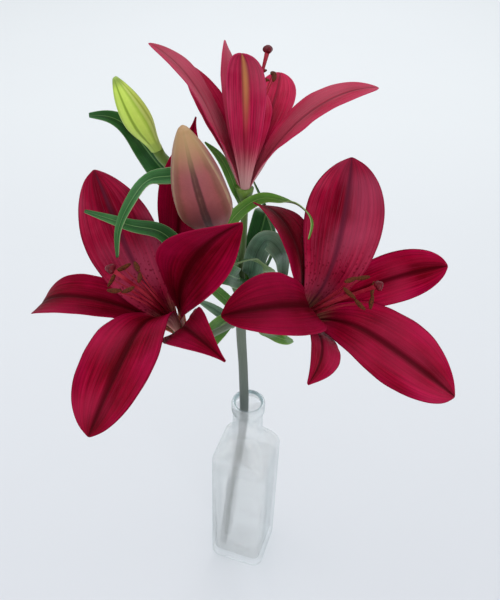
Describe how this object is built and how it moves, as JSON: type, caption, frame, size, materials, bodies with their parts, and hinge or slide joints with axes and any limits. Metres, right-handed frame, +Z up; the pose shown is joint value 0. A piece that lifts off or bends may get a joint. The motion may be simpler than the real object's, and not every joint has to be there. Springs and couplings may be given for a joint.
{
  "type": "oriental lily in vase",
  "caption": "Cut oriental lily with crimson flowers, buds and strap leaves, standing in the water of a small square glass bottle with a round lip.",
  "frame": {"origin": "centre of the bottle's foot, on the surface it stands on", "axes": "+Z up the bottle's axis; -Y towards the viewer of the reference view; +X to that viewer's right"},
  "size_m": [0.2625, 0.2671, 0.5173],
  "materials": {
    "bottle_glass": "clear pressed glass",
    "water": "clear still water",
    "stem": "satin green stem",
    "tepals": "velvety crimson petal",
    "hearts": "pink filaments with rust-brown anthers",
    "dusky_bud": "dull mauve-brown bud",
    "green_bud": "satin yellow-green bud",
    "leaves": "satin green leaf"
  },
  "bodies": {
    "root": {"glass_bottle": "bottle_glass", "water": "water", "stem": "stem", "left_flower_inner_tepal_1": "tepals", "left_flower_outer_tepal_1": "tepals", "left_flower_inner_tepal_2": "tepals", "left_flower_outer_tepal_2": "tepals", "left_flower_inner_tepal_3": "tepals", "left_flower_outer_tepal_3": "tepals", "left_flower_heart": "hearts", "right_flower_inner_tepal_1": "tepals", "right_flower_outer_tepal_1": "tepals", "right_flower_inner_tepal_2": "tepals", "right_flower_outer_tepal_2": "tepals", "right_flower_inner_tepal_3": "tepals", "right_flower_outer_tepal_3": "tepals", "right_flower_heart": "hearts", "top_flower_outer_tepal_1": "tepals", "top_flower_inner_tepal_1": "tepals", "top_flower_outer_tepal_2": "tepals", "top_flower_inner_tepal_2": "tepals", "top_flower_outer_tepal_3": "tepals", "top_flower_inner_tepal_3": "tepals", "top_flower_heart": "hearts", "dusky_bud": "dusky_bud", "green_bud": "green_bud", "leaf_arched_left": "leaves", "leaf_side_left": "leaves", "leaf_behind_bud": "leaves", "leaf_arched_right": "leaves", "leaf_thin": "leaves", "leaf_upright": "leaves", "leaf_folded": "leaves", "leaf_pale": "leaves", "leaf_lower_left": "leaves", "leaf_lower_right": "leaves", "leaf_strip": "leaves", "leaf_grey": "leaves", "leaf_high_tip": "leaves"}
  },
  "joints": []
}
